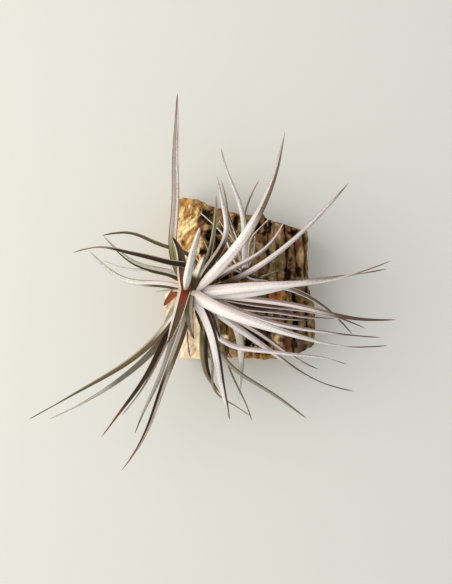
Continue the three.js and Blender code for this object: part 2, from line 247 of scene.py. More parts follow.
barkPaint = dict(
    cream=paint(234, 212, 186),
    peach=paint(242, 212, 174),
    paleYellow=paint(255, 230, 170),
    palePeach=paint(255, 229, 190),
    paleTan=paint(246, 212, 150),
    tan=paint(192, 140, 78),
    amber=paint(176, 122, 60),
    orange=paint(204, 112, 58),
    brown=paint(112, 78, 48),
    redBrown=paint(98, 58, 34),
    gold=paint(136, 98, 48),
    olive=paint(120, 102, 64),
    greyTan=paint(162, 132, 92),
    taupe=paint(98, 82, 68),
    # painted shade for grooves, pits, hollows and the dips in the side walls
    creviceShade=paint(28, 19, 11),
)

# broken-out hollows in the upper face, sunk and painted nearly black as shade: middle and half width and
# half depth, in mm; the last two paint the shadow that the leaves above cast onto the dark bark there
hollows = [
    (-17, 28.5, 2.3, 2), (-16.5, 24.8, 2, 1.6), (-11.8, 20.7, 2.2, 1.6), (-15.8, 19.6, 2.2, 2.6),
    (-13.3, 15.6, 2, 3.2), (-18.8, 12.1, 1.6, 1.8), (-4.9, 24.6, 1.6, 3.6), (4.7, 22.4, 1.8, 1.8),
    (9.8, 23.3, 0.9, 4), (7.3, 20.1, 1.4, 1.3), (20.1, 20.5, 2.8, 1.5), (17.3, 3.1, 1.8, 3.6),
    (21.8, 3.1, 1.4, 2.4), (20.3, -7.6, 1.1, 2.3), (21.2, -17.9, 1.4, 2.1), (5, -23.5, 5.8, 5.6),
    (0.6, -26.5, 2, 3.4), (20.6, -20, 1.2, 8), (25.6, -19, 0.6, 8), (-10.5, 0.6, 4.6, 2.2),
    (-3.5, 2.4, 5, 2.2),
]

# patches where the weather has left another colour: tone, then as for the hollows
patches = [
    ("amber", -25.5, 33.8, 5.6, 2.4), ("amber", -25.8, 28.5, 2, 2.8), ("redBrown", -27.4, 15.8, 1.2, 1.4),
    ("redBrown", -19.8, 24.2, 3, 2.8), ("gold", -7.6, -22.6, 4.2, 5), ("peach", -9.2, -24.2, 1.9, 1.4),
    ("olive", 1.3, 26.2, 2.8, 2.6), ("greyTan", 12.8, 20.5, 2.4, 5), ("olive", 14.6, 14.6, 2, 2.4),
    ("redBrown", 22.4, 15.2, 1.9, 2.4), ("greyTan", 23, 10.4, 1.9, 3.6), ("olive", 13.8, 7, 2, 3.8),
    ("orange", 12.2, -6.4, 3, 2), ("amber", 15.2, -6.6, 1.9, 2.4), ("redBrown", 12.4, -17, 3.4, 1.6),
    ("greyTan", 13.6, -26.4, 3.2, 4.6), ("paleTan", 12.6, -25, 1.3, 3), ("peach", 2.6, -28.2, 1.5, 1.2),
    ("redBrown", 17.2, -26.8, 1.6, 4), ("olive", 26.4, -22, 2.6, 7), ("taupe", 22.4, -27.2, 1.6, 2.8),
    ("amber", 6, -33, 6.5, 1),
]


def splinePoint(points, share):
    # a smooth line through the points, even in arc length to within a few percent
    lengths = [0.0]
    for a, b in zip(points, points[1:]):
        lengths.append(lengths[-1] + math.dist(a, b))
    goal = share * lengths[-1]
    place = 0
    while place < len(points) - 2 and lengths[place + 1] < goal:
        place += 1
    local = (goal - lengths[place]) / (lengths[place + 1] - lengths[place])
    p1 = points[place]
    p2 = points[place + 1]
    p0 = points[max(place - 1, 0)]
    p3 = points[min(place + 2, len(points) - 1)]
    out = []
    for axis in (0, 1):
        a, b, c, d = p0[axis], p1[axis], p2[axis], p3[axis]
        slopeB = (c - a) / 2
        slopeC = (d - b) / 2
        square = local * local
        cube = square * local
        out.append(b * (2 * cube - 3 * square + 1) + slopeB * (cube - 2 * square + local)
                   + c * (3 * square - 2 * cube) + slopeC * (cube - square))
    return out


def blockPlan(across, deep, edges):
    front, back, left, right = edges
    point = []
    for axis in (0, 1):
        value = front[axis] * (1 - deep) + back[axis] * deep
        value += left[axis] * (1 - across) + right[axis] * across
        value -= bark["frontEdge"][0][axis] * (1 - across) * (1 - deep)
        value -= bark["frontEdge"][-1][axis] * across * (1 - deep)
        value -= bark["backEdge"][0][axis] * (1 - across) * deep
        value -= bark["backEdge"][-1][axis] * across * deep
        point.append(value)
    return point


def hashed(number):
    # a fixed but scattered share from 0 to 1 for each number
    return (math.sin(number * 12.9898 + bark["seed"]) * 43758.5453) % 1.0


def rough(x, y, scale, stretch, layer):
    return noise.fractal(Vector((x / scale, y / scale / stretch, layer)), 0.8, 2.2, 3)


def cloud(x, y, across, deep, layer):
    # soft noise: across and deep are its steps per millimetre, layer picks another cloud
    return noise.noise(Vector((x * across, y * deep, layer)))


def spots(x, y, size, layer):
    # soft noise with spots of about this size
    return noise.noise(Vector((x / size[0], y / size[1], layer)))


def coat(color, tone, share):
    return blendColor(color, barkPaint[tone], share)


def spotDistance(x, y, px, py, wide, deep):
    # distance from the middle of a patch or hollow in its own half sizes, None where it can't reach
    reach = bark["spotReach"]
    if abs(x - px) < reach * wide and abs(y - py) < reach * deep:
        return math.hypot((x - px) / wide, (y - py) / deep)
    return None


layering = dict(
    longWaves=1.3,        # how the grooves wander, in long waves and in short ones
    shortWaves=0.5,
    wander=1.6,           # mm
    crest=0.42,           # half width of a layer's flat crest, in half layers
    crestSwing=0.24,
    flank=0.36,           # and the width of its flank
    opening=(-0.3, 0.1),  # noise where a groove begins to open, and where it is open
    closedDepth=0.4,      # how deep a groove still is where it has closed
)


def bands(x, y):
    # old layers running front to back, the grooves between them deep in one place and closed in the next
    drift = layering["longWaves"] * cloud(x, y, 0.05, 0.06, 1.0)
    drift += layering["shortWaves"] * cloud(x, y, 0.2, 0.2, 3.0)
    line = (x + layering["wander"] * drift) / bark["bandPitch"]
    place = math.floor(line)
    share = abs(2 * (line - place) - 1)
    wide = layering["crest"] + layering["crestSwing"] * cloud(place, y, 3.7, 0.12, 5.0)
    crest = smooth(wide + layering["flank"], wide, share)
    opened = smooth(*layering["opening"], cloud(place, y, 5.3, 0.11, 8.0))
    return 1 - (1 - crest) * mix(layering["closedDepth"], 1, opened), hashed(place + 31)


corkLumps = dict(
    perMm=(0.26, 0.2),     # lumps across and along
    warp=1.2,              # how crooked they are
    gap=0.3,               # how far the gaps between them reach, roughly in lump sizes
    opening=(-0.15, 0.3),  # the same for a gap
    closedGap=0.55,        # how solid a gap is where it has closed
)


def lumps(x, y):
    # corky lumps with gaps between them
    warp = corkLumps["warp"] * cloud(x, y, 0.25, 0.25, 2.0)
    across, deep = corkLumps["perMm"]
    distances, points = noise.voronoi(Vector((x * across + warp, y * deep + warp, 0.0)))
    lump = smooth(0.0, corkLumps["gap"], distances[1] - distances[0])
    opened = smooth(*corkLumps["opening"], cloud(x, y, 0.22, 0.18, 14.0))
    closed = mix(corkLumps["closedGap"], 1, lump)
    return mix(closed, lump, opened), hashed(points[0][0] * 3.3 + points[0][1] * 7.7)


tornEnd = dict(
    fibreLine=(0.55, 0.84),  # the way its fibres run, to the right and to the back
    strandRise=(1.9, 0.9),   # height of the strands at the back and at the front
    frontFrom=(-8, -18),     # y where the front begins and where it is complete
    tearEdge=(0.3, 0.55),
    tearDepth=0.7,
    chipRise=1.2,            # height of a chip over its gaps
    chipSteps=2.0,           # how far the chips differ in height
    chipSink=1.8,
)


def tornWood(x, y):
    # the torn left end: height and colour, its fibres running up to the right
    right, back = tornEnd["fibreLine"]
    along = x * right + y * back
    over = x * back - y * right
    strand = cloud(over, along, 0.3, 0.11, 7.0)
    strand += 0.5 * cloud(over, along, 0.75, 0.22, 9.0)
    tear = smooth(*tornEnd["tearEdge"], cloud(over, along, 0.42, 0.12, 12.0))
    chip, chipTone = lumps(over * 1.15 + 60, along * 0.6)
    crumbled = smooth(*bark["crumbledFrom"], y)
    rise = mix(*tornEnd["strandRise"], smooth(*tornEnd["frontFrom"], y))
    high = rise * strand - tornEnd["tearDepth"] * tear
    high += crumbled * (tornEnd["chipRise"] * chip + tornEnd["chipSteps"] * chipTone - tornEnd["chipSink"])

    color = coat(barkPaint["tan"], "paleTan", smooth(-0.3, 0.25, strand))
    color = coat(color, "peach", smooth(-6, -16, y) * mix(0.8, 1, smooth(-0.3, 0.1, strand)))
    color = coat(color, "cream", smooth(-30, -34, x + 0.8 * strand))
    color = coat(color, "palePeach", smooth(-12, -22, y) * 0.7)
    color = coat(color, "amber", tear * smooth(-31, -28, x) * smooth(-20, -6, y) * 0.8)
    color = coat(color, "amber", crumbled * smooth(0.3, 0.1, chipTone) * 0.5)
    color = coat(color, "paleYellow", crumbled * smooth(0.4, 0.6, chipTone) * 0.8)
    color = coat(color, "brown", crumbled * smooth(0.4, 0.05, chip + 0.3 * chipTone) * 0.8)
    return high, color


def corkColor(x, y, layered, bandTone, lumpTone, blotch):
    # the weathered bark: layers at the right and corky lumps between them and the torn end
    stain = spots(x, y, bark["stainSize"], 36.0)
    layers = coat(barkPaint["brown"], "greyTan", smooth(0.3, 0.9, bandTone + 0.6 * stain))
    layers = coat(layers, "olive", smooth(0.0, 0.35, stain + 0.4 * blotch) * 0.7)
    cork = coat(barkPaint["brown"], "gold", smooth(-0.1, 0.4, lumpTone + 0.5 * stain))
    cork = coat(cork, "greyTan", smooth(0.25, 0.75, lumpTone + 0.6 * blotch))
    cork = coat(cork, "redBrown", smooth(0.1, 0.4, -stain) * 0.7)
    return blendColor(cork, layers, layered)


def barkSurface(x, y):
    # height and colour of the upper face at one place
    wholeTurn = 2 * math.pi
    wander = bark["ridgeWander"] * math.sin(y / bark["ridgeWanderLength"] * wholeTurn)
    ridge = math.sin((x + wander) / bark["ridgePitch"] * wholeTurn)
    swell = math.sin((x + bark["swellShift"][0]) / bark["swellWidth"] * wholeTurn)
    swell *= math.cos((y + bark["swellShift"][1]) / bark["swellLength"] * wholeTurn)
    base = bark["height"] + bark["ridgeHeight"] * ridge + bark["swellHeight"] * swell
    border = bark["edgeWander"] * cloud(x, y, 0.1, 0.1, 20.0)
    layered = smooth(*bark["layersFrom"], x + border)
    torn = smooth(*bark["tornFrom"], x + 0.7 * border - 0.05 * (10 - y))
    crest, bandTone = bands(x, y)
    lump, lumpTone = lumps(x, y)
    blotch = spots(x, y, bark["blotchSize"], 33.0)
    grain = rough(x, y, 1.5, 1.5, 40)
    fleck = spots(x, y, bark["fleckSize"], 52.0)
    fibre, tornColor = tornWood(x, y)

    solid = mix(lump, crest, layered)
    high = mix(mix(*bark["solidHeights"], solid) + bark["blotchRise"] * blotch, fibre, torn)
    high = base + bark["reliefDepth"] * high + bark["grainDepth"] * grain
    color = blendColor(corkColor(x, y, layered, bandTone, lumpTone, blotch), tornColor, torn)
    for tone, *place in patches:
        away = spotDistance(x, y, *place)
        if away is not None:
            share = smooth(*bark["patchEdge"], away + 0.7 * blotch + 0.15 * grain)
            color = coat(color, tone, bark["patchCover"] * share)
            high += bark["patchRise"] * share
            solid = mix(solid, 1.0, 0.7 * share)
    # painted shade: the grooves, the gaps between the lumps and the small pits are nearly black, except in
    # the pale torn end
    dark = smooth(*bark["grooveDark"], solid + 0.3 * blotch)
    pit = smooth(*bark["pitEdge"], spots(x, y, bark["pitSize"], 45.0))
    dark = max(dark, bark["pitCover"] * pit)
    dark *= mix(0.8, 1, layered) * (1 - torn)
    color = coat(color, "creviceShade", bark["darkest"] * dark)
    shade = mix(*bark["shades"], smooth(-0.6, 0.6, 0.8 * blotch + 0.5 * grain + 0.6 * fleck))
    shade = mix(shade, 1.0, 0.6 * torn)
    color = tuple(channel * shade for channel in color)
    # the hollows are sunk and coloured nearly black, painted shade
    for place in hollows:
        away = spotDistance(x, y, *place)
        if away is not None:
            away += 0.6 * blotch + 0.3 * grain + 0.35 * fleck
            share = smooth(*bark["hollowEdge"], away)
            color = coat(color, "creviceShade", bark["darkest"] * share)
            high -= bark["hollowDepth"] * share
    return high, color


def wallColor(x, layer, grain):
    color = coat(barkPaint["brown"], "greyTan", smooth(-0.3, 0.5, grain + 0.4 * layer))
    color = coat(color, "tan", smooth(-14, -26, x) * 0.8)
    color = coat(color, "peach", smooth(-24, -29, x) * smooth(-0.3, 0.4, grain + layer) * 0.6)
    # painted shade: the side wall turns nearly black where it dips in
    return coat(color, "creviceShade", smooth(-0.15, -0.45, grain + 0.3 * layer) * 0.8)


def addBark():
    cells = bark["cells"]
    row = cells + 1
    points = []
    colors = []
    faces = []
    sides = ("frontEdge", "backEdge", "leftEdge", "rightEdge")
    lines = {side: [splinePoint(bark[side], step / cells) for step in range(row)] for side in sides}
    for deep in range(row):
        for across in range(row):
            edges = [lines[side][place] for side, place in zip(sides, (across, across, deep, deep))]
            x, y = blockPlan(across / cells, deep / cells, edges)
            rimward = min(across, cells - across, deep, cells - deep) / cells
            ragged = smooth(0.03, 0.0, rimward)
            high, color = barkSurface(x, y)
            x += ragged * bark["raggedRim"] * cloud(x, y, 0.4, 0.4, 50.0)
            y += ragged * bark["raggedRim"] * cloud(x, y, 0.4, 0.4, 60.0)
            points.append((x, y, high - bark["rimDrop"] * ragged))
            colors.append(color)
    for deep in range(cells):
        for across in range(cells):
            corner = deep * row + across
            faces.append((corner, corner + 1, corner + 1 + row, corner + row))
    # the rim of the upper face, going round from the front left corner
    rim = list(range(cells))
    rim += [step * row + cells for step in range(cells)]
    rim += [cells * row + step for step in range(cells, 0, -1)]
    rim += [step * row for step in range(cells, 0, -1)]
    above = rim
    for level in range(1, bark["wallSteps"] + 1):
        share = 1 - level / bark["wallSteps"]
        below = []
        for place, corner in enumerate(rim):
            x, y, z = points[corner]
            height = z * share
            layer = noise.noise(Vector((x * 0.09, y * 0.09, height * 0.5)))
            grain = noise.fractal(Vector((x * 0.3, y * 0.3, height * 0.7)), 0.8, 2.1, 4)
            push = 1 + bark["wallLayer"] * layer + bark["wallGrain"] * grain
            push -= bark["wallTaper"] * (1 - share)
            push -= bark["wallNotch"] * smooth(0.25, -0.2, layer)
            below.append(len(points))
            points.append((x * push, y * push, max(height, 0.0)))
            colors.append(wallColor(x, layer, grain))
        for place in range(len(rim)):
            after = (place + 1) % len(rim)
            faces.append((above[place], below[place], below[after], above[after]))
        above = below
    middle = len(points)
    points.append((0, 0, 0))
    colors.append(barkPaint["brown"])
    for place in range(len(rim)):
        faces.append((middle, above[(place + 1) % len(rim)], above[place]))
    metres = [(x * mm, y * mm, z * mm) for x, y, z in points]
    piece = addMesh("barkChunk", metres, faces, barkMaterial(), "bark_block")
    addColors(piece, "barkTone", colors)


def barkMaterial():
    material, nodes, links, shader = newMaterial("tornBark")
    tone = nodes.new("ShaderNodeAttribute")
    tone.attribute_name = "barkTone"
    coordinates = nodes.new("ShaderNodeTexCoord")
    grain = nodes.new("ShaderNodeTexNoise")
    grain.inputs["Scale"].default_value = bark["grainScale"]
    grain.inputs["Detail"].default_value = bark["grainDetail"]
    grain.inputs["Roughness"].default_value = bark["grainRoughness"]
    stretch = nodes.new("ShaderNodeMapping")
    stretch.inputs["Scale"].default_value = (1.0, bark["grainStretch"], 1.0)
    links.new(coordinates.outputs["Object"], stretch.inputs["Vector"])
    links.new(stretch.outputs["Vector"], grain.inputs["Vector"])
    ramp = nodes.new("ShaderNodeMapRange")
    ends = ("From Min", "From Max", "To Min", "To Max")
    for socket, value in zip(ends, (*bark["grainRange"], *bark["grainShades"])):
        ramp.inputs[socket].default_value = value
    links.new(grain.outputs["Fac"], ramp.inputs["Value"])
    tint = nodes.new("ShaderNodeMix")
    tint.data_type = "RGBA"
    tint.blend_type = "MULTIPLY"
    tint.inputs["Factor"].default_value = 1
    links.new(tone.outputs["Color"], tint.inputs["A"])
    links.new(ramp.outputs["Result"], tint.inputs["B"])
    links.new(tint.outputs["Result"], shader.inputs["Base Color"])
    addFeel(nodes, links, shader, grain.outputs["Fac"], bark)
    return material


print("bark chunk")
addBark()

# Stems and leaves

stems = dict(
    main=dict(foot=(-13, -6, 19), bend=(-13, -6, 48), top=(-25.7, -4.5, 62), radius=2.8),
    upper=dict(foot=(-1, 2, 19), bend=(-1, 2, 34), top=(-1, 5, 43), radius=1.7),
    lower=dict(foot=(-17, -13, 19), bend=(-17, -13, 37), top=(-17.5, -18, 42), radius=1.8),
)

stemWrap = dict(
    steps=40,    # steps from foot to top
    sides=24,
    taper=0.55,  # how much of its radius a stem loses towards its top
    taperPower=6,
    turns=11,    # turns of old leaf bases round a stem
    wobble=0.1,  # how far their edges swing, in turns, and how often in one turn
    wobbles=3,
    reach=40,    # length of a stem that its streaks are reckoned with
    proud=1.06,  # the outer edge of a leaf base, in stem radii
    step=0.14,   # and how far it falls back under the next one
)

blade = dict(
    steps=48,                 # steps along a leaf
    crowding=1.1,             # above 1 sets them a little closer together at the base
    tipSteps=6,               # this many rings at the tip are drawn towards it
    tipCrowding=0.6,
    sideSteps=9,              # points across each face
    baseDepth=0.16,           # depth of the channel at the base and at the tip, in leaf widths
    tipDepth=0.36,
    baseKeel=2.2,             # how flat the channel's floor is, flat at the base and keeled further out
    tipKeel=1.25,
    flare=0.1,                # how much wider the base is
    flareReach=0.1,           # and how far along the leaf that goes
    hookReach=0.05,           # how soon a hooked root has turned into the line of its leaf
    archScale=6.75,           # makes the highest value of along * (1 - along) ** 2 one
    directionReach=0.01,      # how far before and after a place the leaf's direction is measured
    thick=0.2,                # thickness over width in the middle
    thinning=0.05,            # taken off that, so that narrow leaves are thinner still
    rim=0.16,                 # thickness of the edges
    rimShare=0.3,             # but no more than this share of the width
    hump=0.4,                 # share of the thickness on the channelled face
    roundness=2.2,            # how the thickness falls off to the edges, 2 gives a parabola
    changeReach=(0.08, 0.1),  # share of the leaf before and after the place where its tone changes
    endReach=0.12,            # share of the leaf in which the tone of its tip comes in
    rimEnd=(1.0, 0.9),        # where the pale or dark edges have ended, and where they are full
    flankContrast=3,          # how quickly a leaf that turns to the light gets its near and far flank
    flush=(0.32, 0.12),       # where along the leaf the red of its base ends, and where it is full
    point=0.5,                # least width, up to where the tip closes
    pointReach=0.05,          # the last share of the leaf, where it does
    pointLeast=0.02,          # its square root is what is left of it at the very end
    crispAngle=50,            # sharper folds than this, in degrees, stay crisp
    roughness=0.75,
    shine=0.2,
    bump=0.25,
    bumpDepth=0.0002,         # metres
    scalesPerMetre=2300,      # silver scales, roughly
    streaksAcross=4.6,        # fine streaks: how many, and how slowly they change along the leaf
    streaksAlong=0.05,
    streakScale=1.5,
    streakDetail=3,
    scaleDetail=2,
    streakShift=90.0,         # gives every leaf streaks of its own
)

# the side that the near flanks of the leaves face, seen from above: the side the light comes from, so each
# leaf's near and far tones paint its light and shade besides its own colours
litSide = Vector((-0.97, -0.24, 0))

leafPaint = dict(
    # painted highlight, used only for the margins of two leaves by the heart of the crown that the light
    # catches
    highlightIvory=paint(255, 241, 220),
    white=paint(238, 229, 221),
    pink=paint(234, 219, 211),
    cream=paint(236, 228, 206),
    silver=paint(208, 202, 192),
    lilac=paint(212, 198, 194),
    rose=paint(196, 176, 164),
    mauve=paint(170, 147, 141),
    grey=paint(167, 157, 137),
    paleGrey=paint(192, 187, 170),
    taupe=paint(135, 115, 90),
    plum=paint(98, 74, 63),
    tan=paint(176, 158, 132),
    umber=paint(80, 57, 33),
    brown=paint(94, 71, 46),
    copper=paint(152, 110, 88),
    dark=paint(42, 29, 13),
    rust=paint(121, 70, 46),
    brick=paint(160, 84, 52),
    olive=paint(90, 83, 52),
    deepOlive=paint(62, 52, 24),
    oliveGrey=paint(112, 108, 90),
    green=paint(136, 134, 76),
    sage=paint(168, 164, 126),
    paleGreen=paint(208, 206, 182),
    bleached=paint(226, 221, 206),
    red=paint(140, 58, 28),
)


def leaf(root, tip, arch, bend, wide, taper, turn, near, far, change=0.3, ends="plum", endsFrom=0.82,
         rim=(0, 0), rimTone="pink", red=0.0, fold=0.0, split=0.0, hook=0.0, flare=blade["flare"]):
    # root is the place on the stem from foot to top, arch the rise and bend the sideways swing in one,
    # two, three and more half waves, hook a quick swing at the root; turn rolls the blade: its channel
    # faces up at 0, its back at 180. near and far are the tones of its two flanks, as pairs where they
    # change along the leaf; the near flank is the one on the side the light comes from, and besides the
    # leaf's own colours the two tones carry its painted light and shade. split is how far the far tone
    # comes over the middle, rim the width of their edges in half blades, red the flush at the base and
    # fold how dark the painted shade down the middle of the channel is
    return dict(root=root, tip=tip, arch=arch, bend=bend, wide=wide, taper=taper, turn=turn, near=near,
                far=far, change=change, ends=ends, endsFrom=endsFrom, rim=rim, rimTone=rimTone, red=red,
                fold=fold, split=split, hook=hook, flare=flare)


# each tip is the last point read along a leaf, and a fit to its other points made the bend and
# hook, all to the nearest 0.5 mm
mainLeaves = [
    # short leaves standing round the heart of the crown
    leaf(0.985, (-18.5, 18, 108), 4, (0.5, 0, 0), 3.25, 0.5, 170, "white", "silver", ends="pink",
         flare=-0.55),
    leaf(0.98, (-30, 16.5, 70), 1, (-1, 0.5, 0), 4.4, 0.62, 10, ("rust", "deepOlive"),
         ("rust", "deepOlive"), change=0.42, rim=(0.34, 0), rimTone="highlightIvory", red=0.3, ends="dark"),
    leaf(0.9, (-33.5, -10.5, 66), 1, (-2.5, -0.5, 0), 3.5, 0.5, 0, "brick", "brick", red=0.3, ends="umber",
         endsFrom=0.9, flare=-0.3),
    leaf(1, (-31.5, -25, 84), 5, (0.5, 0, 0), 4.5, 0.75, -10, ("rust", "brown"), ("rust", "brown"),
         rim=(0.5, 0.08), rimTone="highlightIvory", red=1.0, ends="olive", endsFrom=0.9),
    leaf(0.9, (-21.5, -23.5, 70), 3, (-1, 0, 0), 3.9, 0.7, 5, ("olive", "taupe"), "grey", change=0.5,
         rim=(0, 0.16), rimTone="umber", fold=0.5, ends="umber"),
    leaf(0.8, (-23.5, -31, 56), 3, (-2, 0, 0), 1.1, 0.8, 0, "tan", "olive", ends="olive"),
    leaf(0.93, (-33.5, -17.5, 62), 3, (-1, 0, 0), 1.75, 0.7, 0, "paleGreen", "sage", ends="sage"),
    # leaves reaching back
    leaf(0.88, (-27.5, 70.5, 84), 0.5, (4.5, 2, 1, 0.5), 3.5, 0.66, 0, ("green", "rose"),
         ("green", "silver"), change=0.26, rim=(0.16, 0.2), rimTone="rust", fold=0.6, ends="rust",
         endsFrom=0.88, flare=-0.35),
    leaf(0.86, (13, 55, 90), 12, (-7, 0, 0), 4.25, 0.85, 175, ("white", "lilac"), ("pink", "taupe"),
         change=0.5, ends="mauve", flare=-0.3),
    leaf(0.83, (-12.5, 40, 74), 10, (-7, 0.5, 1), 2.7, 0.7, 190, ("grey", "white"), ("dark", "silver"),
         change=0.5, split=0.35, ends="silver", flare=-0.5),
    leaf(0.78, (-13, 33.5, 62), 8, (-2, 0, 0), 2, 0.45, 160, ("oliveGrey", "sage"), ("dark", "oliveGrey"),
         change=0.5, rim=(0.2, 0.14), rimTone="grey", ends="tan"),
    leaf(0.72, (14.5, 23.5, 56), 10, (-2.5, 1.5, 0), 2.4, 0.65, 190, ("tan", "pink"), ("dark", "mauve"),
         change=0.28, rim=(0.14, 0), rimTone="tan", ends="pink"),
    leaf(0.68, (41, 39.5, 50), 12, (-5.5, -0.5, 0), 2.3, 0.6, 190, ("umber", "pink"), ("dark", "lilac"),
         change=0.24, ends="taupe"),
    # long leaves spreading to the right
    leaf(0.8, (57.5, 7.5, 54), 14, (-3, 1, 0), 4.3, 1.55, 180, "white", ("pink", "mauve"), change=0.6,
         ends="taupe", endsFrom=0.76),
    leaf(0.72, (57, 4.5, 46), 12, (-2, -1, -0.5), 3.6, 1.3, 190, "white", ("pink", "grey"), change=0.4),
    leaf(0.64, (61.5, -16.5, 42), 12, (-0.5, 1, -0.5), 2.5, 0.6, 175, ("pink", "plum"), ("mauve", "plum"),
         change=0.62, rim=(0, 0.24), rimTone="taupe", endsFrom=0.7),
    leaf(0.6, (49, -20, 38), 11, (1.5, -1, 0), 2.75, 0.8, 185, ("plum", "mauve"), ("dark", "plum"),
         change=0.5, rim=(0.3, 0)),
    leaf(0.55, (37, -16, 36), 9, (-2.5, -0.5, -0.5), 2.25, 0.8, 170, ("plum", "mauve"), ("dark", "plum"),
         change=0.5, rim=(0.35, 0)),
    leaf(0.5, (27.5, -17, 35), 7, (-3.5, -0.5, 0), 1.75, 0.8, 180, "lilac", "plum"),
    leaf(0.48, (44.5, -23, 32), 9, (11, 0, 0), 2.25, 0.6, 10, ("pink", "oliveGrey"),
         ("taupe", "oliveGrey"), change=0.5, rim=(0.34, 0.16), rimTone="pink", ends="dark", endsFrom=0.84),
    leaf(0.66, (55.5, -24, 38), 12, (-4.5, -0.5, 0), 2.75, 1.3, 180, "white", ("mauve", "mauve"),
         change=0.5, ends="plum", endsFrom=0.7),
    leaf(0.92, (57.5, -27, 46), 14, (-6, 0.5, -0.5), 4.8, 1.95, 172, "white", ("pink", "lilac"),
         change=0.4, endsFrom=0.76),
    leaf(0.84, (46.5, -48, 20), 5, (-4.5, 1, -0.5), 3.2, 1.5, 170, ("white", "silver"), ("lilac", "olive"),
         change=0.55, split=0.1, ends="olive", endsFrom=0.76),
    leaf(0.6, (30.5, -38, 27), 6, (-1.5, 0, -0.5), 2.4, 0.8, 160, "pink", "plum"),
    # leaves reaching forward
    leaf(0.88, (-7.5, -57.5, 46), 10, (2.5, 1, 0), 4.1, 0.62, 182, "white", "dark", split=-0.42,
         ends="dark", endsFrom=0.9, flare=0.5),
    leaf(0.7, (-13.5, -23.5, 53), 4, (0, -0.5, 0), 2.75, 0.6, 20, "taupe", "dark", split=-0.2,
         rim=(0.2, 0.1), rimTone="grey", ends="dark"),
    leaf(0.64, (-11.5, -24, 53), 4, (1, 0, 0), 2.5, 0.6, 0, "umber", "grey", ends="dark"),
    leaf(0.7, (-18, -23, 48), 5, (-1.5, -0.5, 0), 2.5, 0.7, 0, "deepOlive", "green", rim=(0, 0.2),
         rimTone="sage", ends="sage"),
    leaf(0.46, (-4, -51, 30), 9, (7, 1, 0), 3.5, 0.62, 180, "cream", "bleached", ends="bleached"),
    # long leaves to the front left
    leaf(0.9, (-89.5, -57, 50), 12, (6.5, 1.5, 0), 3.4, 1.4, 30, ("cream", "olive"),
         ("deepOlive", "brown"), change=0.2, rim=(0.4, 0), rimTone="grey", ends="olive", endsFrom=0.7),
    leaf(0.84, (-82, -57.5, 44), 10, (7.5, 0.5, 0), 3.2, 1.2, 20, ("rust", "oliveGrey"),
         ("umber", "oliveGrey"), change=0.3, ends="paleGrey", endsFrom=0.58),
    leaf(0.88, (-60, -64.5, 48), 10, (2, -0.5, -0.5), 2.6, 0.85, 20, "dark", "dark", rim=(0.12, 0),
         rimTone="taupe", red=0.3, ends="rust", endsFrom=0.72),
    leaf(0.74, (-52.5, -56.5, 40), 8, (0.5, -1, 0), 1.5, 0.8, 0, "taupe", "grey", ends="grey"),
    leaf(0.82, (-47, -64, 40), 9, (0, -0.5, -0.5), 2.75, 0.8, 10, "paleGrey", "grey", rim=(0.2, 0),
         ends="umber"),
    leaf(0.86, (-52, -78.5, 46), 12, (3.5, -0.5, 0.5), 3.6, 0.85, -10, ("grey", "dark"), ("umber", "grey"),
         change=0.4, rim=(0.14, 0.1), ends="copper", endsFrom=0.8),
    # leaves to the left
    leaf(0.62, (-58.5, 17.5, 60), 6, (-10, -1.5, -1.5), 1.9, 0.5, 20, "olive", "olive", rim=(0, 0.3),
         rimTone="grey", ends="umber"),
    leaf(0.8, (-69.5, 10.5, 66), 14, (0, 2.5, 0, 0.5), 2.6, 1.15, 20, "dark", "dark", rim=(0.1, 0.28),
         rimTone="grey", ends="copper", endsFrom=0.66, hook=-14),
    leaf(0.75, (-58.5, 17.5, 54), 6, (1.5, -2, -0.5), 3.3, 0.9, 160, "deepOlive", ("silver", "paleGrey"),
         change=0.3, ends="grey"),
    leaf(0.72, (-45.5, 6.5, 48), 5, (-0.5, -0.5, 0.5), 1.75, 0.8, 30, "deepOlive", "olive", ends="silver"),
    leaf(0.88, (-64, 11.5, 58), 7, (4.5, -1.5, -0.5), 3, 0.7, 160, ("olive", "bleached"),
         ("pink", "bleached"), change=0.4, ends="silver"),
    leaf(0.76, (-60, 8, 44), 6, (-2.5, -2, 0), 1.4, 0.8, 160, "bleached", "bleached", ends="bleached"),
    leaf(0.94, (-37, -5, 64), 2, (-0.5, 0, 0), 1.2, 0.8, 0, "paleGreen", "sage", ends="silver"),
    # two short folded bracts beside the heart
    leaf(0.88, (-17.5, 9, 68), 4, (0, 0, 0), 4.2, 0.42, 185, ("deepOlive", "cream"), ("umber", "tan"),
         change=0.44, ends="brown", endsFrom=0.9, flare=-0.2),
    leaf(0.86, (-21.5, 7.5, 64), 4, (0, 0, 0), 2.4, 0.5, 175, ("red", "cream"), ("olive", "sage"),
         change=0.3, ends="brown", endsFrom=0.9),
]

